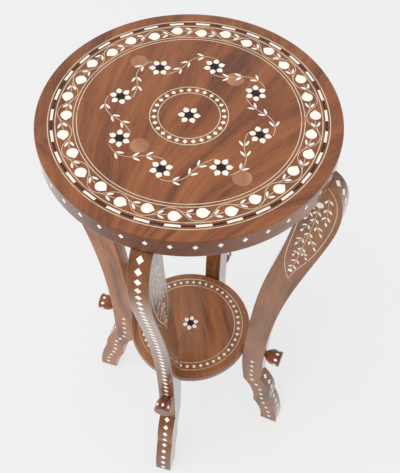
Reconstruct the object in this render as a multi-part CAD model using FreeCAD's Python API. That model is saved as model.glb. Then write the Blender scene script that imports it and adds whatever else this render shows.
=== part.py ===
import FreeCAD, Part
import math
import os

# Round inlaid side table: a disc top on four S-shaped board legs, with a small round shelf at the ankles.
# Millimetres, +Z up. The origin is on the floor under the middle of the top.
# +X runs along the right leg. Every inlay is a separate piece, glued into a pocket that is cut for it.

V = FreeCAD.Vector
UP = V(0, 0, 1)
OUT = V(1, 0, 0)

# Top and shelf
table_height = 616.0
top_radius = 153.5
top_thickness = 25.0
top_arris = 1.5
top_under_round = 2.5
shelf_radius = 84.5
shelf_thickness = 15.0
shelf_height = 194.0
shelf_round = 4.0

# Legs: one sawn board each, set by hand, so that their bearings are not quite square
leg_bearings = {"right": 0.0, "back": 91.0, "left": 185.5, "front": 277.0}
leg_thickness = 22.0
leg_edge_round = 1.0
neck_inset = 26.5
shoulder_overhang = 9.5
shoulder_drop = 9.0
knee_overhang = 18.5
knee_drop = 43.0
ankle_width = 31.0
shelf_housing = 0.8
toe_radius = 149.5
sole_length = 25.5

# Sweep of the leg's two edges, as shares of the climb and of the reach from the ankle up
outer_sweep = ((0.82, 0.83), (0.585, 0.45), (0.38, 0.19), (0.17, 0.04))
inner_sweep = ((0.80, 0.92), (0.64, 0.67), (0.47, 0.36), (0.26, 0.14))

# Two scalloped steps of the foot: the heights they start at, their reach past the ankle, and their swell
outer_scallop_heights = (124.0, 72.0)
outer_scallop_reach = (0.0, 19.5)
outer_scallop_swell = (4.8, 3.2)
inner_scallop_heights = (111.0, 52.5)
inner_scallop_reach = (5.3, 24.8)
inner_scallop_swell = (6.0, 4.7)

# Turned knob on each ankle, the screw that it hides, and the dowel under the top
knob_radius = 11.0
knob_length = 22.5
knob_flare = 10.0
knob_swell = 0.72
knob_shoulder = 0.6
knob_edge_round = 1.0
knob_tenon = 7.0
screw_radius = 2.1
screw_head_radius = 3.3
screw_head_height = 2.6
screw_bite = 30.0
counterbore_depth = 12.0
dowel_radius = 4.0
dowel_depth = 15.0
dowel_inset = 17.5

# Fits
fit = 0.2
glue_line = 0.06

# Inlay shared by all surfaces
inlay_depth = 2.0
brass_width = 1.1
stem_width = 0.8
leaf_width = 2.5
leaf_length = 7.8
leaf_tip_slope = 3.0
leaf_spread = 31.0
leaf_offset = 0.75

# Border of the top, from the rim inwards
outer_ring_inset = 13.5
block_band = 7.4
block_margin = 1.8
block_gap = 0.4
bone_block_length = 15.0
border_width = 17.6
ring_pair_gap = 3.4
border_repeats = 15
border_turn = -0.9
bud_radius = 5.7
bud_point = 1.9
bud_margin = 0.75
vine_margin = 1.6
vine_bend = 14.3
vine_lag = 1.5
spray_start = 0.8
spray_fork = (15.2, 2.6)
spray_end = (22.6, 5.2)

# Garland and middle of the top
garland_inset = 37.4
garland_repeats = 8
garland_turn = 2.6
garland_reach = 12.0
garland_climb = 55.0
garland_stem_margin = 2.3
garland_leaf_length = 8.6
garland_inner_leaves = (0.36,)
garland_outer_leaves = (0.10, 0.64)
petal_radius = 3.0
petal_point = 1.1
petal_distance = 7.6
petal_count = 6
flower_turn = 5.0
centre_ring_radius = 39.2
centre_band = 8.2
centre_diamond_margin = 0.85
centre_diamond_width = 5.0
centre_diamond_count = 27
centre_diamond_turn = 6.7
centre_flower_turn = 16.8

# Round wooden plugs in the top, each by its distance from the middle and its bearing
plug_radius = 9.5
plug_depth = 6.0
plug_places = ((93.0, 147.5), (69.1, 70.3), (62.5, -117.0), (95.0, -35.0))

# Diamonds on the rim and on the shelf
rim_diamond = (5.4, 6.4)
rim_diamond_count = 42
rim_diamond_turn = 4.1
rim_diamond_drop = 9.2
shelf_ring_inset = 11.0
shelf_band = 10.8
shelf_diamond_margin = 2.0
shelf_diamond_width = 5.4
shelf_diamond_count = 46
shelf_diamond_turn = 0.0
shelf_flower_turn = 38.8

# Diamonds on the legs, as width and length, with the bare stretches at the two ends of each row
edge_diamond = (7.6, 9.0)
edge_diamond_count = 33
edge_row_ends = (7.5, 71.0)
scallop_diamond_counts = (4, 5)
scallop_row_ends = (7.0, 7.0)
foot_diamond = (6.6, 6.4)
foot_diamond_count = 13
foot_row_shares = (0.0, 0.4, 0.8)
foot_row_ends = (16.7, 12.0)
knob_diamond = (4.6, 6.0)
knob_diamond_count = 8

# Panel on the flat sides of the legs: drops below the top of the leg
panel_top = 2.0
panel_tip = 184.0
panel_tip_shift = 5.2
panel_tip_slope = 3.0

# Inner and outer side of the panel: margin to the edge, and drops with shares of the full width there
inner_side = (3.0, ((55.0, 1.0), (105.0, 0.97), (138.0, 0.80), (163.0, 0.36)))
outer_side = (5.2, ((20.0, 1.0), (55.0, 1.0), (105.0, 0.97), (138.0, 0.80), (163.0, 0.47)))

# Sprig in the panel: drops below the top of the leg, and distances from the middle of the board or the stem
sprig_shift = -1.9
tip_bud_shift = 1.2
top_bud_radius = 4.4
top_bud_drop = 33.0
tip_bud_radius = 2.9
tip_bud_drop = 164.0
stem_leaf_drops = (44.0, 57.0, 84.0, 114.0, 139.0, 151.5)
branch_sizes = {57.0: 1.0, 84.0: 1.0, 114.0: 0.7}
branch_root = 4.5
branch_fork = (4.6, 13.0)
branch_lean = 25.0
branch_length = 9.5
side_stem_distance = 9.4
side_stem_leaf_drops = (21.0, 36.0, 48.5)
side_stem_drops = (18.0, 37.0, 57.0)
side_leaf_lean = 25.0

# Heights and radii that follow from the sizes above
underside = table_height - top_thickness
neck_radius = top_radius - neck_inset
ankle_inner = shelf_radius - shelf_housing
ankle_outer = ankle_inner + ankle_width
ankle_height = shelf_height - shelf_thickness / 2
half_leg = leg_thickness / 2
counterbore_radius = screw_head_radius + fit
screw_seat = V(ankle_outer - counterbore_depth, 0, ankle_height)
outer_ring_radius = top_radius - outer_ring_inset
border_ring_radius = outer_ring_radius - block_band
block_radius = outer_ring_radius - block_band / 2
border_radius = border_ring_radius - border_width / 2
inner_ring_radius = border_ring_radius - border_width
field_ring_radius = inner_ring_radius - ring_pair_gap
garland_radius = field_ring_radius - garland_inset
vine_sway = border_width / 2 - vine_margin
bud_sway = border_width / 2 - brass_width / 2 - bud_radius - bud_margin
half_repeat = 180.0 / border_repeats


# Places and directions

def polar(radius, bearing, height=0.0):
    angle = math.radians(bearing)
    return V(radius * math.cos(angle), radius * math.sin(angle), height)


def heading(direction):
    return math.degrees(math.atan2(direction.y, direction.x))


def rotated(direction, angle):
    return FreeCAD.Rotation(UP, angle).multVec(direction)


def moved(shape, placement):
    copy = shape.copy()
    copy.Placement = placement.multiply(copy.Placement)
    return copy


def placed(shape, position, turn=0.0):
    return moved(shape, FreeCAD.Placement(position, FreeCAD.Rotation(UP, turn)))


def turned(shape, bearing):
    return placed(shape, V(0, 0, 0), bearing)


def closed_face(edges):
    return Part.Face(Part.Wire(Part.__sortEdges__(edges)))


def circles(shape):
    return [edge for edge in shape.Edges if isinstance(edge.Curve, Part.Circle)]


# Flat outlines round the origin, each drawn smaller by the gap

def polygon(points):
    return Part.Face(Part.makePolygon(list(points) + [points[0]]))


def diamond(width, length, gap=0.0):
    x, y = width / 2 - gap, length / 2 - gap
    return polygon([V(x, 0, 0), V(0, y, 0), V(-x, 0, 0), V(0, -y, 0)])


def rectangle(length, width, gap=0.0):
    x, y = length / 2 - gap, width / 2 - gap
    return polygon([V(-x, -y, 0), V(x, -y, 0), V(x, y, 0), V(-x, y, 0)])


def hexagon(flat_radius, gap=0.0):
    corner = (flat_radius - gap) / math.cos(math.radians(30))
    return polygon([polar(corner, 30 + 60 * i) for i in range(6)])


def disc(radius, gap=0.0):
    return Part.Face(Part.Wire(Part.makeCircle(radius - gap)))


def ring(radius, gap=0.0):
    half = brass_width / 2 - gap
    return disc(radius + half).cut(disc(radius - half)).Faces[0]


def teardrop(radius, point, gap=0.0):
    """A round bud or petal that comes to a point on the +X side."""
    small = radius - gap
    tip = V(small + point, 0, 0)
    spread = math.acos(small / tip.x)
    upper = V(small * math.cos(spread), small * math.sin(spread), 0)
    lower = V(upper.x, -upper.y, 0)
    back = Part.Arc(upper, V(-small, 0, 0), lower).toShape()
    return closed_face([Part.makeLine(tip, upper), back, Part.makeLine(lower, tip)])


def leaf(length, gap=0.0):
    """A slim leaf from the origin along +X, pointed at both ends."""
    inset = leaf_tip_slope * gap
    start, end = V(inset, 0, 0), V(length - inset, 0, 0)
    middle = (start + end) * 0.5
    swell = V(0, leaf_width / 2 - gap, 0)
    upper = Part.Arc(start, middle + swell, end).toShape()
    lower = Part.Arc(end, middle - swell, start).toShape()
    return closed_face([upper, lower])


def arc_strip(start, middle, end, gap=0.0):
    """A strip of the stems' width along the arc through three points."""
    arc = Part.ArcOfCircle(start, middle, end)
    half = stem_width / 2 - gap
    sides = []
    for radius in (arc.Radius + half, arc.Radius - half):
        sides.append([arc.Center + (p - arc.Center) * (radius / arc.Radius) for p in (start, middle, end)])
    edges = [Part.Arc(*side).toShape() for side in sides]
    edges += [Part.makeLine(sides[0][i], sides[1][i]) for i in (0, 2)]
    return closed_face(edges)


def line_strip(start, end, gap=0.0):
    run = end - start
    return placed(rectangle(run.Length, stem_width, gap), (start + end) * 0.5, heading(run))


# Inlay: the pocket takes the whole outline, and the piece leaves the glue line round it

class Inlay:
    """Outlines sunk into one flat surface, with the pieces gathered by node."""

    def __init__(self):
        self.pockets = []
        self.pieces = {}

    def add(self, node, outline, position=V(0, 0, 0), turn=0.0):
        """Sink an outline, given as a function of the gap round it."""
        outlines = [placed(outline(gap), position, turn) for gap in (0, glue_line)]
        pocket, piece = [shape.extrude(UP * -inlay_depth) for shape in outlines]
        self.pockets.append(pocket)
        self.pieces.setdefault(node, []).append(piece)

    def repeat(self, other, count, first):
        """Take in another set of inlays again and again round the middle."""
        for i in range(count):
            turn = first + i * 360.0 / count
            self.pockets += [turned(pocket, turn) for pocket in other.pockets]
            for node, pieces in other.pieces.items():
                self.pieces.setdefault(node, []).extend(turned(piece, turn) for piece in pieces)

    def leaf_pair(self, node, tip, direction, length):
        """Two leaves that meet at a tip on a stem and lie back along it on either side."""
        for side in (-1, 1):
            start = tip - rotated(direction, 90 * side) * leaf_offset
            turn = heading(direction) + 180 + side * leaf_spread
            self.add(node, lambda gap: leaf(length, gap), start, turn)

    def flower(self, petals, eye, position, turn):
        """Pointed petals round a dark six-sided eye."""
        for i in range(petal_count):
            bearing = turn + i * 360.0 / petal_count
            spot = position + polar(petal_distance, bearing)
            self.add(petals, lambda gap: teardrop(petal_radius, petal_point, gap), spot, bearing)
        self.add(eye, lambda gap: hexagon(petal_distance - petal_radius - fit, gap), position, turn)

    def diamond_ring(self, node, radius, size, count, first):
        """Diamonds on a circle, each pointing to the middle."""
        for i in range(count):
            bearing = first + i * 360.0 / count
            self.add(node, lambda gap: diamond(*size, gap), polar(radius, bearing), bearing - 90)

    def seated(self, placement):
        """The pockets and the pieces, on the surface that holds them."""
        pieces = {}
        for node, shapes in self.pieces.items():
            pieces[node] = [moved(shape, placement) for shape in shapes]
        return [moved(pocket, placement) for pocket in self.pockets], pieces


def level(height):
    return FreeCAD.Placement(V(0, 0, height), FreeCAD.Rotation())


def edge_cutter(point, normal, along, size):
    """A diamond prism that stands across a curved surface, as deep as an inlay."""
    prism = diamond(*size).extrude(UP * (2 * inlay_depth))
    frame = FreeCAD.Rotation(along.cross(normal), along, normal)
    prism.Placement = FreeCAD.Placement(point - normal * inlay_depth, frame)
    return prism


# Border of the top

def reflected(point, bearing):
    """The mirror image in the upright plane through the middle at this bearing."""
    side = polar(1, bearing + 90)
    return point - side * (2 * point.dot(side))


def vine_side(grow):
    """One side of a repeat of the vine, from crest through trough to crest."""
    crest_bearing, trough_bearing = half_repeat - vine_lag, -vine_lag
    crest = polar(border_radius + vine_sway - vine_bend, crest_bearing)
    trough = polar(border_radius - vine_sway + vine_bend, trough_bearing)
    run = trough - crest
    lean = math.degrees(math.acos(2 * vine_bend / run.Length))
    normal = rotated(run, lean).normalize()
    outward = polar(1, crest_bearing)
    between = (outward + normal).normalize()
    half = [crest + direction * (vine_bend + grow) for direction in (outward, between, normal)]
    half.append(trough - normal * (vine_bend - grow))
    bottom = trough - polar(vine_bend - grow, trough_bearing)
    return half + [bottom] + [reflected(point, trough_bearing) for point in reversed(half)]


def vine(gap=0.0):
    half = stem_width / 2 - gap
    sides = [vine_side(half), vine_side(-half)]
    edges = [Part.makeLine(sides[0][i], sides[1][i]) for i in (0, -1)]
    for p in sides:
        edges += [Part.Arc(*p[i:i + 3]).toShape() for i in (0, 3, 6)]
        edges += [Part.makeLine(p[2], p[3]), Part.makeLine(p[5], p[6])]
    return closed_face(edges)


def on_border(bearing, ahead, out):
    """A point of the border, by its distance clockwise of a bearing and outwards of the middle line."""
    return polar(border_radius + out, bearing - math.degrees(ahead / border_radius))


def border_repeat():
    """A bud outside the vine and a bud inside it, with their stems and leaves, and the vine past both."""
    unit = Inlay()
    runs = [vine]
    for bearing, side in ((0.0, 1), (half_repeat, -1)):
        bud = on_border(bearing, 0, side * bud_sway)
        unit.add("border_buds", lambda gap: teardrop(bud_radius, bud_point, gap), bud, bearing + 90)
        start = on_border(bearing, bud_radius + leaf_offset, side * spray_start)
        fork = on_border(bearing, spray_fork[0], side * spray_fork[1])
        end = on_border(bearing, spray_end[0], side * spray_end[1])
        runs.append(lambda gap, points=(start, fork, end): arc_strip(*points, gap))
        unit.leaf_pair("border_leaves", fork, (fork - start).normalize(), leaf_length)
    joined = []
    for gap in (0, glue_line):
        solids = [run(gap).extrude(UP * -inlay_depth) for run in runs]
        joined.append(solids[0].fuse(solids[1:]).Solids[0])
    unit.pockets.append(joined[0])
    unit.pieces["border_vine"] = [joined[1]]
    return unit


# Garland of the top

def tangent_arc(start, direction, end):
    """The arc that leaves the start in this direction and reaches the end."""
    chord = end - start
    half_angle = math.radians(heading(chord) - heading(direction)) / 2
    middle = start + (chord + rotated(chord, -90) * math.tan(half_angle)) * 0.5
    return Part.ArcOfCircle(start, middle, end)


def along_arc(arc, share):
    return arc.FirstParameter + (arc.LastParameter - arc.FirstParameter) * share


def garland_repeat():
    """A flower, and the stem that leaves its inner side and swings out to the next one clockwise."""
    unit = Inlay()
    unit.flower("garland_petals", "garland_flower_eyes", polar(garland_radius, 0), flower_turn)
    step = 360.0 / garland_repeats
    start = polar(garland_radius - garland_reach, -garland_stem_margin)
    end = polar(garland_radius + garland_reach, garland_stem_margin - step)
    middle = polar(garland_radius, -step / 2)
    climb = rotated(polar(1, -step / 2), garland_climb - 90)
    for way, tip, shares in ((-1, start, garland_inner_leaves), (1, end, garland_outer_leaves)):
        arc = tangent_arc(middle, climb * way, tip)
        points = [arc.value(along_arc(arc, share)) for share in (0, 0.5, 1)]
        unit.add("garland_stems", lambda gap: arc_strip(*points, gap))
        for at in [along_arc(arc, share) for share in shares]:
            unit.leaf_pair("garland_leaves", arc.value(at), arc.tangent(at)[0] * way, garland_leaf_length)
    return unit


# Top

def top_blank():
    """The turned disc, with a fine upper arris and a slightly rounder lower edge."""
    plate = Part.makeCylinder(top_radius, top_thickness, V(0, 0, underside))
    upper = [edge for edge in circles(plate) if edge.Curve.Center.z > underside]
    plate = plate.makeFillet(top_arris, upper)
    lower = [edge for edge in circles(plate) if edge.Curve.Center.z <= underside]
    return plate.makeFillet(top_under_round, lower)


def add_blocks(face):
    """The row of bone and ebony blocks between the two outer brass rings."""
    width = block_band - brass_width - 2 * block_margin
    pitch = math.radians(half_repeat) * block_radius
    ebony_block_length = pitch - bone_block_length - 2 * block_gap
    for i in range(2 * border_repeats):
        for node, length, shift in (("border_bone_blocks", bone_block_length, 0.0),
                                    ("border_ebony_blocks", ebony_block_length, 0.5)):
            bearing = border_turn + (i + shift) * half_repeat
            spot = polar(block_radius, bearing)
            face.add(node, lambda gap: rectangle(length, width, gap), spot, bearing + 90)


def top_inlay():
    face = Inlay()
    rings = ((outer_ring_radius, "top_outer_brass_ring"),
             (border_ring_radius, "border_outer_brass_ring"),
             (inner_ring_radius, "border_inner_brass_rings"),
             (field_ring_radius, "border_inner_brass_rings"),
             (centre_ring_radius, "centre_brass_rings"),
             (centre_ring_radius - centre_band, "centre_brass_rings"))
    for radius, node in rings:
        face.add(node, lambda gap: ring(radius, gap))
    add_blocks(face)
    face.repeat(border_repeat(), border_repeats, border_turn)
    face.repeat(garland_repeat(), garland_repeats, garland_turn)
    size = (centre_diamond_width, centre_band - brass_width - 2 * centre_diamond_margin)
    face.diamond_ring("centre_diamonds", centre_ring_radius - centre_band / 2, size,
                      centre_diamond_count, centre_diamond_turn)
    face.flower("centre_flower_petals", "centre_flower_eye", V(0, 0, 0), centre_flower_turn)
    return face.seated(level(table_height))


def dowel(grow=0.0):
    """The dowel that pins the right leg to the top."""
    depth = dowel_depth + grow
    foot = V(top_radius - dowel_inset, 0, underside - depth)
    return Part.makeCylinder(dowel_radius + grow, 2 * depth, foot)


def plugs(grow):
    cylinder = Part.makeCylinder(plug_radius + grow, plug_depth)
    for distance, bearing in plug_places:
        yield placed(cylinder, polar(distance, bearing, table_height - plug_depth), bearing)


def build_top():
    blank = top_blank()
    pockets, nodes = top_inlay()
    rim_point = V(top_radius, 0, table_height - rim_diamond_drop)
    cutter = edge_cutter(rim_point, OUT, UP, rim_diamond)
    rim_pitch = 360.0 / rim_diamond_count
    cutters = [turned(cutter, rim_diamond_turn + i * rim_pitch) for i in range(rim_diamond_count)]
    nodes["rim_diamonds"] = [blank.common(shape) for shape in cutters]
    holes = [turned(dowel(fit / 2), bearing) for bearing in leg_bearings.values()]
    nodes["table_top"] = [blank.cut(pockets + cutters + list(plugs(0.0)) + holes)]
    nodes["top_plugs"] = [plug.cut(pockets) for plug in plugs(-glue_line)]
    nodes["leg_dowels"] = [turned(dowel(), bearing) for bearing in leg_bearings.values()]
    return nodes


# Shelf

def screw_shank(grow=0.0):
    """The shank of the screw through the right ankle into the rim of the shelf."""
    length = screw_seat.x - shelf_radius + screw_bite + grow
    return Part.makeCylinder(screw_radius + grow, length, screw_seat, OUT * -1)


def shelf_screw():
    head = Part.makeCylinder(screw_head_radius, screw_head_height, screw_seat, OUT)
    return screw_shank().fuse(head).removeSplitter()


def build_shelf():
    face = Inlay()
    outer_ring = shelf_radius - shelf_ring_inset
    for radius in (outer_ring, outer_ring - shelf_band):
        face.add("shelf_brass_rings", lambda gap: ring(radius, gap))
    size = (shelf_diamond_width, shelf_band - brass_width - 2 * shelf_diamond_margin)
    face.diamond_ring("shelf_diamonds", outer_ring - shelf_band / 2, size,
                      shelf_diamond_count, shelf_diamond_turn)
    face.flower("shelf_flower_petals", "shelf_flower_eye", V(0, 0, 0), shelf_flower_turn)
    pockets, nodes = face.seated(level(shelf_height))
    plate = Part.makeCylinder(shelf_radius, shelf_thickness, V(0, 0, shelf_height - shelf_thickness))
    holes = [turned(screw_shank(fit / 2), bearing) for bearing in leg_bearings.values()]
    nodes["shelf"] = [plate.makeFillet(shelf_round, circles(plate)).cut(pockets + holes)]
    nodes["shelf_screws"] = [turned(shelf_screw(), bearing) for bearing in leg_bearings.values()]
    return nodes


# Profile of a leg, in the XZ plane of the right one

def sweep(low, high, shares):
    """Points between the low and the high end of an edge, by shares of its climb and reach."""
    rise = high - low
    return [low + V(rise.x * reach, 0, rise.z * climb) for climb, reach in shares]


def spline(points):
    curve = Part.BSplineCurve()
    curve.interpolate(points)
    return curve


def scallop(start, end, swell):
    chord = end - start
    out = V(-chord.z, 0, chord.x).normalize()
    return Part.ArcOfCircle(start, (start + end) * 0.5 + out * swell, end)


def foot_steps(base, heights, reach, floor_radius):
    steps = [V(base + out, 0, height) for out, height in zip(reach, heights)]
    return steps + [V(floor_radius, 0, 0)]


neck = V(neck_radius, 0, underside)
brow = V(top_radius, 0, underside)
shoulder = V(top_radius + shoulder_overhang, 0, underside - shoulder_drop)
knee = V(top_radius + knee_overhang, 0, underside - knee_drop)
inner_ankle = V(ankle_inner, 0, ankle_height)
outer_ankle = V(ankle_outer, 0, ankle_height)
outer_steps = foot_steps(ankle_outer, outer_scallop_heights, outer_scallop_reach, toe_radius)
inner_steps = foot_steps(ankle_inner, inner_scallop_heights, inner_scallop_reach, toe_radius - sole_length)
outer_edge = spline([brow, shoulder, knee] + sweep(outer_ankle, knee, outer_sweep)
                    + [outer_ankle, outer_steps[0]])
inner_edge = spline([neck] + sweep(inner_ankle, neck, inner_sweep)
                    + [inner_ankle, inner_steps[0]])
outer_scallops = [scallop(outer_steps[i], outer_steps[i + 1], outer_scallop_swell[i]) for i in (0, 1)]
inner_scallops = [scallop(inner_steps[i], inner_steps[i + 1], inner_scallop_swell[i]) for i in (0, 1)]


def board_middle(drop):
    """The middle of the board and half its width, at a drop below the top of the leg."""
    plane = Part.Plane(V(0, 0, underside - drop), UP)
    inner, outer = [edge.intersect(plane)[0][0].X for edge in (inner_edge, outer_edge)]
    return (inner + outer) / 2, (outer - inner) / 2


def on_panel(drop, distance=0.0):
    """A point of the flat side of the leg, drawn lying down with its height as Y."""
    return V(board_middle(drop)[0] + distance, underside - drop, 0)


def leg_blank():
    """The sawn board, whose level end meets the underside of the top, flush with the rim."""
    edges = [Part.makeLine(neck, brow)]
    edges += [curve.toShape() for curve in [outer_edge, inner_edge] + outer_scallops + inner_scallops]
    edges.append(Part.makeLine(outer_steps[-1], inner_steps[-1]))
    board = closed_face(edges).extrude(V(0, leg_thickness, 0))
    board.translate(V(0, -half_leg, 0))
    long_edges = [edge for edge in board.Edges if isinstance(edge.Curve, Part.BSplineCurve)]
    return board.makeFillet(leg_edge_round, long_edges)


# Inlay of a leg

def panel_outline(shrink, top):
    """The leaf-shaped panel below a drop, with its sides drawn in by a distance."""
    sides = []
    tip = on_panel(panel_tip, panel_tip_shift) + V(0, panel_tip_slope * shrink, 0)
    for side, (margin, taper) in ((-1, inner_side), (1, outer_side)):
        points = []
        for drop, share in ((top, 1.0),) + taper:
            half = (board_middle(drop)[1] - margin) * share - shrink
            points.append(on_panel(drop, side * half))
        sides.append(points + [tip])
    edges = [spline(points).toShape() for points in sides]
    return closed_face(edges + [Part.makeLine(sides[0][0], sides[1][0])])


def panel_strip(gap=0.0):
    """The brass strip down both sides of the panel, which meet at its tip."""
    return panel_outline(gap, panel_top + gap).cut(panel_outline(brass_width - gap, panel_top)).Faces[0]


def on_sprig(drop, distance=0.0):
    return on_panel(drop, sprig_shift + distance)


def add_stem(panel, *points):
    """A stem down the panel, along the arc through three points."""
    panel.add("panel_stems", lambda gap: arc_strip(*points, gap))
    return Part.ArcOfCircle(*points)


def on_stem(stem, drop, distance=0.0):
    """The point of a stem at a drop below the top of the leg, and the way up the stem there."""
    at = stem.parameter(on_sprig(drop, distance))
    return stem.value(at), stem.tangent(at)[0] * -1


def add_branch(panel, stem, drop, side):
    """A branch that hangs from the stem below a leaf pair, with leaves of its own."""
    size = branch_sizes[drop]
    root = on_stem(stem, drop + branch_root)[0] + OUT * (side * stem_width)
    fork = on_stem(stem, drop + branch_fork[1] * size)[0] + OUT * (side * branch_fork[0] * size)
    along = rotated(V(0, -1, 0), side * branch_lean)
    end = fork + along * (branch_length * size)
    knuckle = fork - (fork - root).normalize() * stem_width
    panel.add("panel_stems", lambda gap: line_strip(root, knuckle, gap))
    panel.add("panel_stems", lambda gap: line_strip(fork, end, gap))
    panel.leaf_pair("panel_leaves", fork, along * -1, leaf_length * size)
    panel.add("panel_leaves", lambda gap: leaf(leaf_length * size, gap), end + along * fit, heading(along))


def add_sprig(panel):
    """A stem between two round buds, with leaf pairs, hanging branches and a side stem on either hand."""
    panel.add("panel_outline", panel_strip)
    panel.add("panel_leaves", lambda gap: disc(top_bud_radius, gap), on_sprig(top_bud_drop))
    panel.add("panel_leaves", lambda gap: disc(tip_bud_radius, gap), on_panel(tip_bud_drop, tip_bud_shift))
    top, foot = top_bud_drop + top_bud_radius + fit, tip_bud_drop - tip_bud_radius - fit
    stem = add_stem(panel, on_sprig(top), on_sprig((top + foot) / 2), on_panel(foot, tip_bud_shift))
    for drop in stem_leaf_drops:
        panel.leaf_pair("panel_leaves", *on_stem(stem, drop), leaf_length)
    for side in (-1, 1):
        for drop in branch_sizes:
            add_branch(panel, stem, drop, side)
        distance = side * side_stem_distance
        side_stem = add_stem(panel, *[on_sprig(drop, distance) for drop in side_stem_drops])
        for drop in side_stem_leaf_drops:
            panel.leaf_pair("panel_leaves", *on_stem(side_stem, drop, distance), leaf_length)
        end, upward = on_stem(side_stem, side_stem_drops[-1], distance)
        panel.add("panel_leaves", lambda gap: leaf(leaf_length, gap), end - upward * fit,
                  heading(upward) + 180 + side * side_leaf_lean)


def spread_along(curve, count, ends):
    """Evenly spread points of a curve, each with the direction there."""
    for i in range(count):
        at = curve.parameterAtDistance(ends[0] + (curve.length() - sum(ends)) * i / (count - 1))
        yield curve.value(at), curve.tangent(at)[0]


def add_foot_diamonds(panel):
    """The row of diamonds down the middle of the foot."""
    ankle_drop = underside - ankle_height
    step_drop = underside - outer_steps[0].z
    points = [on_panel(ankle_drop + (step_drop - ankle_drop) * share) for share in foot_row_shares]
    pairs = []
    for i in (0, 1):
        pairs.append((inner_steps[i], outer_steps[i]))
        pairs.append([arc.value(along_arc(arc, 0.5)) for arc in (inner_scallops[i], outer_scallops[i])])
    pairs.append((inner_steps[2], outer_steps[2]))
    row = spline(points + [V((a.x + b.x) / 2, (a.z + b.z) / 2, 0) for a, b in pairs])
    for spot, direction in spread_along(row, foot_diamond_count, foot_row_ends):
        panel.add("foot_diamonds", lambda gap: diamond(*foot_diamond, gap), spot, heading(direction) - 90)


def edge_cutters():
    """The diamonds down the outer edge of the leg and over its two scallops."""
    rows = [(outer_edge, edge_diamond_count, edge_row_ends)]
    rows += [(arc, count, scallop_row_ends) for arc, count in zip(outer_scallops, scallop_diamond_counts)]
    for curve, count, ends in rows:
        for spot, direction in spread_along(curve, count, ends):
            yield edge_cutter(spot, V(-direction.z, 0, direction.x), direction, edge_diamond)


def knob_blank():
    """The turned bell on the ankle, whose tenon plugs the counterbore of the screw."""
    face = ankle_outer + fit
    end = ankle_outer + knob_length
    flare = ankle_outer + knob_flare
    neck_size = counterbore_radius + knob_shoulder
    tenon_end = ankle_outer - knob_tenon
    tenon_size = counterbore_radius - fit / 2

    def at(radius, height):
        return V(radius, 0, ankle_height + height)

    swell = at((face + flare) / 2, neck_size + (knob_radius - neck_size) * knob_swell)
    profile = [Part.Arc(at(face, neck_size), swell, at(flare, knob_radius)).toShape()]
    corners = [at(flare, knob_radius), at(end, knob_radius), at(end, 0), at(tenon_end, 0),
               at(tenon_end, tenon_size), at(face, tenon_size), at(face, neck_size)]
    profile += [Part.makeLine(a, b) for a, b in zip(corners, corners[1:])]
    bell = closed_face(profile).revolve(V(0, 0, ankle_height), OUT, 360)
    return bell.makeFillet(knob_edge_round, [edge for edge in circles(bell) if edge.Curve.Center.x > flare])


def knob_cutters():
    middle = ankle_outer + (knob_flare + knob_length) / 2
    cutter = edge_cutter(V(middle, 0, ankle_height + knob_radius), UP, OUT, knob_diamond)
    for i in range(knob_diamond_count):
        copy = cutter.copy()
        copy.rotate(V(0, 0, ankle_height), OUT, i * 360.0 / knob_diamond_count)
        yield copy


def build_leg():
    """The right leg, with its knob and everything that is inlaid in it."""
    panel = Inlay()
    add_sprig(panel)
    add_foot_diamonds(panel)
    pockets, nodes = [], {}
    for depth in (-half_leg, half_leg - inlay_depth):
        upright = FreeCAD.Placement(V(0, depth, 0), FreeCAD.Rotation(OUT, 90))
        side_pockets, side_pieces = panel.seated(upright)
        pockets += side_pockets
        for node, pieces in side_pieces.items():
            nodes.setdefault(node, []).extend(pieces)
    blank = leg_blank()
    cutters = list(edge_cutters())
    nodes["leg_edge_diamonds"] = [blank.common(cutter) for cutter in cutters]
    housing = Part.makeCylinder(shelf_radius + fit, shelf_thickness + 2 * fit,
                                V(0, 0, shelf_height - shelf_thickness - fit))
    counterbore = Part.makeCylinder(counterbore_radius, counterbore_depth + knob_length, screw_seat, OUT)
    holes = [housing, counterbore, screw_shank(fit / 2), dowel(fit / 2)]
    nodes["leg"] = [blank.cut(pockets + cutters + holes)]
    knob = knob_blank()
    cutters = list(knob_cutters())
    nodes["knob_diamonds"] = [knob.common(cutter) for cutter in cutters]
    nodes["ankle_knob"] = [knob.cut(cutters)]
    return nodes


def build():
    nodes = {}
    nodes.update(build_top())
    nodes.update(build_shelf())
    leg = build_leg()
    for side, bearing in leg_bearings.items():
        for node, shapes in leg.items():
            nodes[side + "_" + node] = [turned(shape, bearing) for shape in shapes]
    return nodes


os.makedirs("parts", exist_ok=True)
for name, shapes in build().items():
    solids = [solid for shape in shapes for solid in shape.Solids]
    whole = solids[0] if len(solids) == 1 else Part.makeCompound(solids)
    whole.exportStep("parts/" + name + ".step")
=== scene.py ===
import math

import bpy
from mathutils import Matrix, Vector

# Looks of the inlaid side table. Metres and degrees, +Z up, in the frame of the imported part.

# Camera, solved from the photograph, with its lens and sensor in millimetres
eye = Vector((0.2249, -0.5115, 1.1984))
forward = Vector((-0.2207, 0.5329, -0.8169))
camera_roll = math.radians(-0.62)
lens = 61.15
sensor_width = 36.0

# Studio: brightness of the white backdrop, of the ceiling over it and of the light from all round
backdrop_white = 0.94
ceiling_grey = 0.75
sky_light = 0.86

# Upward part of a direction, where the backdrop begins to turn into the ceiling and where it ends
backdrop_top = (0.3, 0.7)

# Room in front of the backdrop, seen only in reflections: the share of the white that it keeps,
# and where it begins and is full, as Y on the floor and as the Y part of a direction in the sky
room_grey = 0.25
sweep_end = (-0.28, -0.62)
room_side = (-0.25, -0.75)

# Floor: matt, with a share of white glow for the rays that show the backdrop
floor_size = 40.0
floor_colour = (0.62, 0.62, 0.625, 1.0)
floor_roughness = 0.9
floor_glow = 0.72

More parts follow.
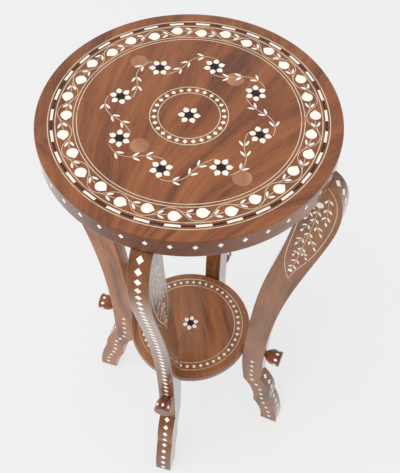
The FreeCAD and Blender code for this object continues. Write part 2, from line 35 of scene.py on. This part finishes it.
# Lamps: name, place, width and power in watts. They all point at one place inside the table.
lamps = (
    ("key_softbox", (-0.6, -0.9, 2.7), 1.6, 24.0),
    ("fill_softbox", (0.2, -2.4, 1.2), 1.6, 22.0),
)
lamp_target = Vector((0, 0, 0.4))

# Boards: bearings of the legs, and the run of the grain, which spreads over the top from a point
leg_bearings = {"right": 0.0, "back": 91.0, "left": 185.5, "front": 277.0}
top_fan = Vector((0.0, -0.258, 0.0))
shelf_grain_bearing = 112.0
plug_grain_bearing = 130.0
leg_grain_lean = 8.0

# Seeds of the figure: each board is cut from another place in the wood, shifted along three axes
seed_shift = (1.0, 1.7, 0.6)
top_seed = 7.91
shelf_seed = 7.72
plug_seed = 2.73
dowel_seed = 3.1
leg_seed = 4.3
knob_seed = 9.2

# Sheesham: dark, middle and light tone, as screen colours, and a factor for each leg: partly its own
# board, partly painted light and shade
top_tones = ((88, 46, 26), (128, 72, 38), (150, 90, 49))
shelf_tones = ((96, 55, 34), (145, 91, 56), (164, 107, 69))
leg_tones = ((92, 53, 31), (137, 86, 49), (157, 101, 61))
leg_board_and_painted_light = {"right": 0.96, "back": 0.92, "left": 1.08, "front": 0.87}
knob_tones = ((84, 42, 26), (124, 66, 38), (148, 84, 48))

# Paler wood of the plugs, and beech of the dowels
plug_tones = ((142, 94, 63), (166, 114, 78), (184, 131, 94))
dowel_tones = ((164, 126, 84), (190, 152, 106), (206, 172, 128))

# Wood figure: lengths along and across the grain
sway_size = (0.15, 0.09)
sway_reach = 0.060
cloud_size = (0.15, 0.060)
band_size = (0.24, 0.018)
streak_size = (0.18, 0.0045)
fibre_size = (0.030, 0.00070)
pore_size = (0.0065, 0.00042)

# Wood figure: shares of bands, streaks and fibre, and the places of the three tones in their sum
band_share = 0.55
streak_share = 0.25
fibre_share = 0.20
wood_places = (0.36, 0.49, 0.64)

# Veins: dark where the streaks are strong, but only inside the clouds
vein_streaks = (0.55, 0.68)
vein_clouds = (0.47, 0.63)
vein_shade = 0.6

# Pores and end grain: from where to where they deepen, and how dark they get
pore_span = (0.66, 0.74)
pore_shade = 0.55
end_span = (0.2, 0.95)
end_shade = 0.3
disc_end_shade = 0.75

# Rounded edges, rubbed pale by hands: the lean of the surface where the rubbing comes and goes
rubbing_comes = (0.1, 0.5)
rubbing_goes = (0.98, 0.7)
rubbed_share = 0.25

# Lacquered surface of the wood
wood_roughness = (0.20, 0.30)
pore_roughness = 0.15
lacquer_roughness = 0.10
lacquer_index = 1.4
wood_specular = 0.25
fibre_height = 0.35

# Bone: tones of the pieces, and tone, number to the metre and strength of its clouds and specks
bone_tones = ((230, 221, 210), (238, 230, 221), (242, 235, 228))
bone_places = (0.0, 0.5, 1.0)
bone_cloud_tone = (222, 208, 190)
bone_cloud_count = 160.0
bone_cloud_span = (0.5, 0.72)
bone_cloud_share = 0.35
bone_cloud_height = 0.5
bone_speck_tone = (176, 156, 126)
bone_speck_count = 3800.0
bone_speck_span = (0.66, 0.76)
bone_speck_share = 0.4
bone_roughness = (0.28, 0.42)
bone_index = 1.54

# Brass: bright, plain and tarnished tone, and scratches and tarnish to the metre
brass_tones = ((254, 240, 214), (250, 229, 194), (228, 195, 154))
brass_places = (0.38, 0.6, 0.74)
scratch_count = (260.0, 2400.0, 900.0)
tarnish_count = 85.0
tarnish_span = (0.55, 0.75)
tarnish_roughness = 0.12
brass_roughness = (0.36, 0.52)

# Ebony: brown heartwood for the blocks, black for the eyes of the flowers, and streaks to the metre
block_tones = ((44, 25, 17), (62, 36, 25), (88, 54, 38))
eye_tones = ((18, 14, 14), (28, 22, 21), (44, 33, 29))
ebony_places = (0.35, 0.55, 0.75)
ebony_streak_count = (700.0, 160.0, 400.0)
ebony_roughness = (0.30, 0.42)
ebony_index = 1.5
ebony_specular = 0.3

# Steel of the screws: dull and bright tone, and grain and bloom to the metre
steel_tones = ((150, 148, 143), (190, 188, 182))
steel_places = (0.35, 0.7)
steel_grain_count = 1500.0
bloom_count = 220.0
steel_roughness = (0.28, 0.45)

# Relief of each surface: strength and depth
wood_relief = (0.25, 0.00012)
bone_relief = (0.15, 0.0001)
brass_relief = (0.12, 0.00008)
ebony_relief = (0.1, 0.0001)
steel_relief = (0.1, 0.0001)

# Noise: its mean, and the range that most of it lies in
noise_mean = 0.5
noise_span = (0.3, 0.7)


def colour(screen):
    """A linear colour from a screen colour of 0 to 255."""
    shares = [value / 255 for value in screen]
    linear = [s / 12.92 if s <= 0.04045 else ((s + 0.055) / 1.055) ** 2.4 for s in shares]
    return (*linear, 1.0)


def polar(bearing):
    angle = math.radians(bearing)
    return Vector((math.cos(angle), math.sin(angle), 0))


def show(thing):
    bpy.context.scene.collection.objects.link(thing)


class Graph:
    """A node tree, made step by step. Each step adds one node and gives its output."""

    def __init__(self, tree):
        self.tree = tree

    def put(self, socket, value):
        if isinstance(value, bpy.types.NodeSocket):
            self.tree.links.new(value, socket)
        else:
            socket.default_value = value

    def add(self, kind, inputs, **settings):
        node = self.tree.nodes.new("ShaderNode" + kind)
        for key, value in settings.items():
            setattr(node, key, value)
        for key, value in inputs.items():
            self.put(node.inputs[key], value)
        return node

    def position(self):
        return self.add("TexCoord", {}).outputs["Object"]

    def normal(self):
        return self.add("TexCoord", {}).outputs["Normal"]

    def island(self):
        return self.add("NewGeometry", {}).outputs["Random Per Island"]

    def parts(self, vector):
        return self.add("SeparateXYZ", {0: vector}).outputs

    def vector(self, operation, first, second):
        return self.add("VectorMath", {0: first, 1: second}, operation=operation).outputs[0]

    def lean(self, axis):
        """How far the surface faces along an axis: 0 for across it, 1 for along it."""
        inputs = {0: self.normal(), 1: tuple(axis)}
        node = self.add("VectorMath", inputs, operation="DOT_PRODUCT")
        return self.number("ABSOLUTE", node.outputs["Value"])

    def number(self, operation, first, second=0.0):
        return self.add("Math", {0: first, 1: second}, operation=operation).outputs[0]

    def plus(self, first, second):
        return self.number("ADD", first, second)

    def minus(self, first, second):
        return self.number("SUBTRACT", first, second)

    def times(self, first, second):
        return self.number("MULTIPLY", first, second)

    def noise(self, vector, scale=1.0, detail=2.0, output="Fac"):
        inputs = {"Vector": vector, "Scale": scale, "Detail": detail}
        return self.add("TexNoise", inputs).outputs[output]

    def ranged(self, value, low, high, out_low=0.0, out_high=1.0):
        """A smooth step from one value to another."""
        inputs = {"Value": value, "From Min": low, "From Max": high, "To Min": out_low, "To Max": out_high}
        return self.add("MapRange", inputs, interpolation_type="SMOOTHSTEP").outputs[0]

    def mix(self, factor, first, second):
        return self.add("Mix", {0: factor, 6: first, 7: second}, data_type="RGBA").outputs[2]

    def ramp(self, value, places, tones):
        """A run of screen colours, each at its place."""
        node = self.add("ValToRGB", {"Fac": value})
        elements = node.color_ramp.elements
        while len(elements) < len(places):
            elements.new(0.5)
        for element, place, tone in zip(elements, places, tones):
            element.position = place
            element.color = colour(tone)
        return node.outputs[0]

    def bump(self, height, relief):
        strength, depth = relief
        inputs = {"Height": height, "Strength": strength, "Distance": depth}
        return self.add("Bump", inputs).outputs[0]


class Finish(Graph):
    """The node tree of a new material."""

    def __init__(self, name):
        self.material = bpy.data.materials.new(name)
        self.material.use_nodes = True
        super().__init__(self.material.node_tree)
        self.shader = self.tree.nodes["Principled BSDF"]

    def surface(self, **sockets):
        """Set the shader's own sockets, named with _ for each space."""
        for key, value in sockets.items():
            self.put(self.shader.inputs[key.replace("_", " ")], value)


# Wood

def stretched(graph, vector, size):
    along, across = size
    return graph.vector("MULTIPLY", vector, (1 / along, 1 / across, 1 / across))


def straight(graph, grain):
    """The place in a board of straight grain, with X along it."""
    turn = Vector(grain).rotation_difference(Vector((1, 0, 0))).to_euler()
    return graph.add("Mapping", {"Vector": graph.position(), "Rotation": turn}).outputs[0]


def fanned(graph, point):
    """The place in a board whose grain spreads from a point: X away from it, Y round it."""
    away = graph.parts(graph.vector("SUBTRACT", graph.position(), point))
    bearing = graph.number("ARCTAN2", away["X"], away["Y"])
    squares = [graph.times(away[axis], away[axis]) for axis in "XY"]
    along = graph.number("SQRT", graph.plus(*squares))
    across = graph.times(bearing, point.length)
    return graph.add("CombineXYZ", {"X": along, "Y": across, "Z": away["Z"]}).outputs[0]


def swayed(graph, place, seed):
    """The grain, shifted for each board and swayed a little from side to side."""
    place = graph.vector("ADD", place, [seed * share for share in seed_shift])
    sway = graph.noise(stretched(graph, place, sway_size), detail=1.0, output="Color")
    sway = graph.vector("SUBTRACT", sway, [noise_mean] * 3)
    return graph.vector("ADD", place, graph.vector("MULTIPLY", sway, (0, sway_reach, sway_reach)))


def layer(graph, place, size, detail=2.0):
    return graph.noise(stretched(graph, place, size), detail=detail)


def figure(graph, place, streak, fibre):
    band = layer(graph, place, band_size)
    wide = graph.plus(graph.times(band, band_share), graph.times(streak, streak_share))
    return graph.plus(wide, graph.times(fibre, fibre_share))


def veins(graph, place, streak):
    cloud = layer(graph, place, cloud_size)
    inside = graph.ranged(cloud, *vein_clouds, 0.0, vein_shade)
    return graph.times(graph.ranged(streak, *vein_streaks), inside)


def rubbing(graph, axis):
    """The rounded edges between the faces along and across an axis."""
    lean = graph.lean(axis)
    edge = graph.times(graph.ranged(lean, *rubbing_comes), graph.ranged(lean, *rubbing_goes))
    return graph.times(edge, rubbed_share)


def wood(name, tones, grain, seed, fan=None, rubbed_axis=None, end_dark=end_shade):
    """Lacquered hardwood: bands, narrow dark veins, fine fibre and short open pores."""
    graph = Finish(name)
    dark = colour(tones[0])
    light = colour(tones[-1])
    place = swayed(graph, fanned(graph, fan) if fan else straight(graph, grain), seed)
    streak = layer(graph, place, streak_size)
    fibre = layer(graph, place, fibre_size)
    pore = graph.ranged(layer(graph, place, pore_size, 0.0), *pore_span)
    tone = graph.ramp(figure(graph, place, streak, fibre), wood_places, tones)
    tone = graph.mix(veins(graph, place, streak), tone, dark)
    tone = graph.mix(graph.ranged(graph.lean(grain), *end_span, 0.0, end_dark), tone, dark)
    tone = graph.mix(graph.times(pore, pore_shade), tone, dark)
    if rubbed_axis:
        tone = graph.mix(rubbing(graph, rubbed_axis), tone, light)
    rough = graph.ranged(streak, *noise_span, *wood_roughness)
    rough = graph.plus(rough, graph.times(pore, pore_roughness))
    height = graph.minus(graph.times(fibre, fibre_height), pore)
    graph.surface(Base_Color=tone, Roughness=rough, IOR=lacquer_index, Specular_IOR_Level=wood_specular,
                  Coat_Weight=1.0, Coat_Roughness=lacquer_roughness, Coat_IOR=lacquer_index,
                  Normal=graph.bump(height, wood_relief))
    return graph.material


# Inlay

def bone():
    """Polished camel bone: each piece a little different, with faint clouds and fine dark specks."""
    graph = Finish("bone_inlay")
    cloud = graph.noise(graph.position(), bone_cloud_count, 3.0)
    speck = graph.ranged(graph.noise(graph.position(), bone_speck_count, 1.0), *bone_speck_span)
    tone = graph.ramp(graph.island(), bone_places, bone_tones)
    clouded = graph.ranged(cloud, *bone_cloud_span, 0.0, bone_cloud_share)
    tone = graph.mix(clouded, tone, colour(bone_cloud_tone))
    tone = graph.mix(graph.times(speck, bone_speck_share), tone, colour(bone_speck_tone))
    height = graph.minus(graph.times(cloud, bone_cloud_height), speck)
    graph.surface(Base_Color=tone, Roughness=graph.ranged(cloud, *noise_span, *bone_roughness),
                  IOR=bone_index, Normal=graph.bump(height, bone_relief))
    return graph.material


def brass():
    """Thin brass strip, scraped flush with the wood: fine scratches and a little tarnish."""
    graph = Finish("brass_strip")
    scratch = graph.noise(graph.vector("MULTIPLY", graph.position(), scratch_count))
    tarnish = graph.noise(graph.position(), tarnish_count, 3.0)
    tone = graph.ramp(tarnish, brass_places, brass_tones)
    rough = graph.ranged(scratch, *noise_span, *brass_roughness)
    rough = graph.plus(rough, graph.ranged(tarnish, *tarnish_span, 0.0, tarnish_roughness))
    graph.surface(Base_Color=tone, Metallic=1.0, Roughness=rough, Normal=graph.bump(scratch, brass_relief))
    return graph.material


def ebony(name, tones):
    """Dark wood for the blocks and the eyes of the flowers, from its darkest streaks to its palest."""
    graph = Finish(name)
    streak = graph.noise(graph.vector("MULTIPLY", graph.position(), ebony_streak_count), detail=3.0)
    tone = graph.ramp(streak, ebony_places, tones)
    graph.surface(Base_Color=tone, Roughness=graph.ranged(streak, *noise_span, *ebony_roughness),
                  IOR=ebony_index, Specular_IOR_Level=ebony_specular,
                  Normal=graph.bump(streak, ebony_relief))
    return graph.material


def steel():
    """Screw steel, with a fine grain and a dull zinc bloom."""
    graph = Finish("screw_steel_turned")
    grain = graph.noise(graph.position(), steel_grain_count)
    bloom = graph.noise(graph.position(), bloom_count, 3.0)
    tone = graph.ramp(bloom, steel_places, steel_tones)
    rough = graph.ranged(grain, *noise_span, *steel_roughness)
    graph.surface(Base_Color=tone, Metallic=1.0, Roughness=rough, Normal=graph.bump(grain, steel_relief))
    return graph.material


# Finish of every piece

def dress(node, material):
    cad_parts[node].material_slots[0].material = material


def dress_flat_boards():
    up = (0, 0, 1)
    top_grain = -top_fan.normalized()
    dress("table_top", wood("top_sheesham", top_tones, top_grain, top_seed, top_fan, up, disc_end_shade))
    shelf_grain = polar(shelf_grain_bearing)
    dress("shelf", wood("shelf_sheesham", shelf_tones, shelf_grain, shelf_seed, None, up, disc_end_shade))
    dress("top_plugs", wood("plug_wood_paler", plug_tones, polar(plug_grain_bearing), plug_seed))
    dress("leg_dowels", wood("dowel_beech", dowel_tones, up, dowel_seed))


def dress_legs():
    """Legs, rubbed along the edges of their flat sides, and knobs, rubbed round their ends."""
    lean = math.radians(leg_grain_lean)
    for i, (side, bearing) in enumerate(leg_bearings.items()):
        out = polar(bearing)
        across = polar(bearing + 90)
        grain = out * math.sin(lean) + Vector((0, 0, math.cos(lean)))
        # Each leg's tones scaled by its factor, partly its board's own tone and partly painted light and
        # shade: the front leg darker for the shade under the top, the left lighter for the light on its
        # side
        tones = [[value * leg_board_and_painted_light[side] for value in tone] for tone in leg_tones]
        leg = wood(side + "_leg_sheesham", tones, grain, leg_seed + i, None, across)
        knob = wood(side + "_knob_sheesham", knob_tones, out, knob_seed + i, None, out)
        dress(side + "_leg", leg)
        dress(side + "_ankle_knob", knob)


def dress_inlay():
    finishes = {
        "bone": bone(),
        "brass": brass(),
        "ebony": ebony("ebony_eyes", eye_tones),
        "screw_steel": steel(),
    }
    for name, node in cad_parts.items():
        slot = node.material_slots[0].material.name
        if slot in finishes:
            dress(name, finishes[slot])
    dress("border_ebony_blocks", ebony("ebony_blocks", block_tones))


# Studio

def seen_rays(graph):
    """One for rays that show the backdrop: from the camera, in a reflection or through glass."""
    path = graph.add("LightPath", {}).outputs
    reflected = graph.number("MAXIMUM", path["Is Glossy Ray"], path["Is Transmission Ray"])
    return graph.number("MAXIMUM", path["Is Camera Ray"], reflected)


def room_shade(graph, away, ends):
    """One, but darker in reflections of the room in front of the backdrop."""
    room = graph.ranged(away, *ends, 0.0, 1.0 - room_grey)
    reflected = graph.add("LightPath", {}).outputs["Is Glossy Ray"]
    return graph.minus(1.0, graph.times(room, reflected))


def make_floor():
    half = floor_size / 2
    corners = [(-half, -half, 0), (half, -half, 0), (half, half, 0), (-half, half, 0)]
    mesh = bpy.data.meshes.new("studio_floor")
    mesh.from_pydata(corners, [], [(0, 1, 2, 3)])
    mesh.materials.append(floor_finish())
    floor = bpy.data.objects.new("studio_floor", mesh)
    show(floor)


def floor_finish():
    """Matt white, which keeps the table's shadow and glows for the rays that show it."""
    graph = Finish("studio_floor")
    graph.surface(Base_Color=floor_colour, Roughness=floor_roughness)
    shade = room_shade(graph, graph.parts(graph.position())["Y"], sweep_end)
    glow = graph.add("Emission", {"Strength": graph.times(shade, backdrop_white)}).outputs[0]
    factor = graph.times(seen_rays(graph), floor_glow)
    blend = graph.add("MixShader", {0: factor, 1: graph.shader.outputs[0], 2: glow}).outputs[0]
    graph.put(graph.tree.nodes["Material Output"].inputs["Surface"], blend)
    return graph.material


def make_sky():
    """White from the floor up to the top of the backdrop, then the grey of the ceiling."""
    world = bpy.data.worlds.new("studio_sky")
    world.use_nodes = True
    bpy.context.scene.world = world
    graph = Graph(world.node_tree)
    way = graph.parts(graph.add("TexCoord", {}).outputs["Generated"])
    backdrop = graph.ranged(way["Z"], *backdrop_top, backdrop_white, ceiling_grey)
    shown = graph.times(backdrop, room_shade(graph, way["Y"], room_side))
    inputs = {"Value": seen_rays(graph), "To Min": sky_light, "To Max": shown}
    background = graph.tree.nodes["Background"]
    background.inputs["Color"].default_value = (1.0, 1.0, 1.0, 1.0)
    graph.put(background.inputs["Strength"], graph.add("MapRange", inputs).outputs[0])


def make_lamps():
    """Soft lamps, which light the table but don't show as patches in its gloss."""
    for name, place, width, power in lamps:
        data = bpy.data.lights.new(name, "AREA")
        data.shape = "SQUARE"
        data.size = width
        data.energy = power
        lamp = bpy.data.objects.new(name, data)
        lamp.location = place
        lamp.rotation_euler = (lamp_target - lamp.location).to_track_quat("-Z", "Y").to_euler()
        lamp.visible_glossy = False
        show(lamp)


def make_camera():
    back = -forward.normalized()
    level = forward.cross(Vector((0, 0, 1))).normalized()
    upright = back.cross(level)
    right = level * math.cos(camera_roll) - upright * math.sin(camera_roll)
    axes = Matrix((right, back.cross(right), back)).transposed()
    camera = bpy.data.objects.new("camera", bpy.data.cameras.new("camera"))
    camera.data.lens = lens
    camera.data.sensor_width = sensor_width
    camera.matrix_world = Matrix.Translation(eye) @ axes.to_4x4()
    show(camera)
    bpy.context.scene.camera = camera


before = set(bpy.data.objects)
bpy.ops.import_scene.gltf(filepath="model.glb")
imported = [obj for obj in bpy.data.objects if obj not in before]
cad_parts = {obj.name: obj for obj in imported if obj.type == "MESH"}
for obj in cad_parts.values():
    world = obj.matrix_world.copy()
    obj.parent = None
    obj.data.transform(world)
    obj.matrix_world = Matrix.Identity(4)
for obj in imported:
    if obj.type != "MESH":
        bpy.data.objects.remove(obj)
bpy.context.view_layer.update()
bpy.context.scene.view_settings.view_transform = "Standard"
dress_inlay()
dress_flat_boards()
dress_legs()
make_floor()
make_sky()
make_lamps()
make_camera()
